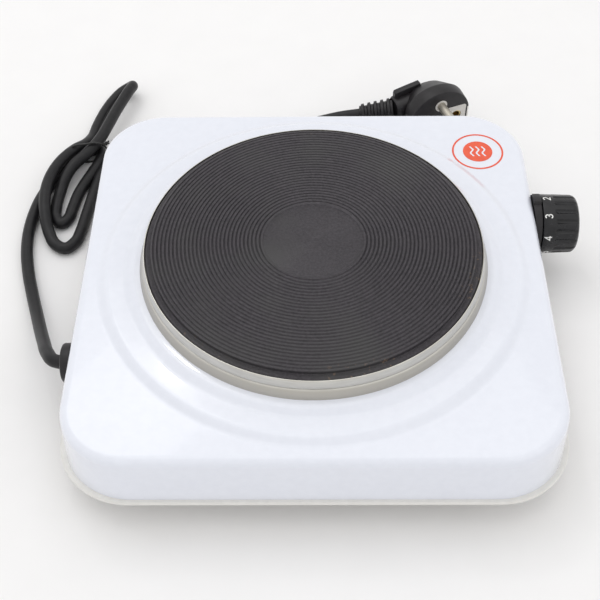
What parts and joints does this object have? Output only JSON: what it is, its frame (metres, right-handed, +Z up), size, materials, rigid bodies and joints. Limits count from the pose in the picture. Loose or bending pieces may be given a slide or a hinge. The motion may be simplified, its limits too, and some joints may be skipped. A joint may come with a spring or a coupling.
{
  "type": "single electric hot plate",
  "caption": "Table-top electric burner: grooved cast iron plate in a square enamelled steel cover, with a side knob, a folded mains lead and an earthed angled plug.",
  "frame": {"origin": "on the table, under the middle of the body's length and depth, the knob included", "axes": "+Z up along the plate's axis, +X towards the knob's wall, -Y towards the front"},
  "size_m": [0.2862, 0.2895, 0.0618],
  "materials": {
    "enamel": "glossy white enamel",
    "pan_paint": "satin off-white paint",
    "steel": "zinc plated",
    "foot_rubber": "matt",
    "mark_print": "thin print",
    "cast_iron": "fine turned grooves",
    "stainless": "polished stainless steel",
    "coil_wire": "oxidised",
    "insulation": "pressed powder",
    "aluminium": "bright",
    "ceramic": "steatite",
    "brass": "bright",
    "fuse_body": "matt",
    "blade_metal": "bright spring bronze",
    "bimetal": "dull",
    "knob_plastic": "semi-gloss",
    "black_plastic": "satin",
    "lens_plastic": "clear red",
    "lamp_glass": "clear",
    "brown_lead": "silicone",
    "blue_lead": "silicone",
    "earth_lead": "silicone",
    "white_lead": "silicone",
    "cord_sheath": "semi-gloss",
    "tie_wire": "satin",
    "plated_brass": "nickel plate"
  },
  "bodies": {
    "base": {"top_cover": "enamel", "base_pan": "pan_paint", "corner_lugs": "steel", "rubber_feet": "foot_rubber", "foot_screws": "steel", "hot_surface_mark": "mark_print", "hot_plate": "cast_iron", "spill_ring": "stainless", "heating_coil": "coil_wire", "coil_insulation": "insulation", "plate_back_cover": "steel", "plate_stud": "steel", "clamp_bracket": "steel", "clamp_washer": "steel", "clamp_nut": "steel", "shield_nut": "steel", "heat_shield": "aluminium", "plate_ceramic": "ceramic", "plate_terminals": "brass", "thermal_fuse": "fuse_body", "earth_screw": "brass", "earth_nut": "brass", "thermostat_frame": "steel", "thermostat_bush": "brass", "thermostat_nut": "steel", "thermostat_ceramics": "ceramic", "thermostat_rivet": "steel", "fixed_blade": "blade_metal", "bimetal_blade": "bimetal", "dial_bezel": "knob_plastic", "indicator_lens": "lens_plastic", "lens_retainer": "black_plastic", "neon_lamp": "lamp_glass", "terminal_block": "ceramic", "terminal_screws": "brass", "block_screw": "steel", "live_wire": "brown_lead", "neutral_wire": "blue_lead", "load_wire": "brown_lead", "earth_wire": "earth_lead", "lamp_leads": "white_lead", "cord_gland": "black_plastic", "gland_nut": "black_plastic", "cord_inner_end": "cord_sheath", "cord_body_side": "cord_sheath", "cord_hank": "cord_sheath", "cord_tie": "tie_wire", "cord_plug_side": "cord_sheath", "plug_boot": "cord_sheath", "plug_body": "cord_sheath", "plug_pins": "plated_brass", "plug_earth_clips": "plated_brass", "plug_earth_socket": "brass"},
    "knob": {"control_knob": "knob_plastic", "control_spindle": "steel"},
    "pin": {"push_pin": "ceramic"},
    "blade": {"contact_blade": "blade_metal"}
  },
  "joints": [
    {"name": "knob_turn", "type": "hinge", "parent": "base", "child": "knob", "pos_m": [0.1094, 0.0392, 0.0305], "axis": [-1, 0, 0], "range_deg": [-90, 135]},
    {"name": "pin_slide", "type": "slide", "parent": "base", "child": "pin", "axis": [-1, 0, 0], "range_m": [-0.00065, 0.00096]},
    {"name": "blade_flex", "type": "hinge", "parent": "base", "child": "blade", "pos_m": [0.0845, 0.0235, 0.0305], "axis": [0, 0, 1], "range_deg": [-2.4, 3.5]}
  ],
  "couplings": [
    {"joint": "pin_slide", "follows": "knob_turn", "m_per_rad": 0.0004},
    {"joint": "blade_flex", "follows": "knob_turn", "ratio": 0.0248}
  ]
}
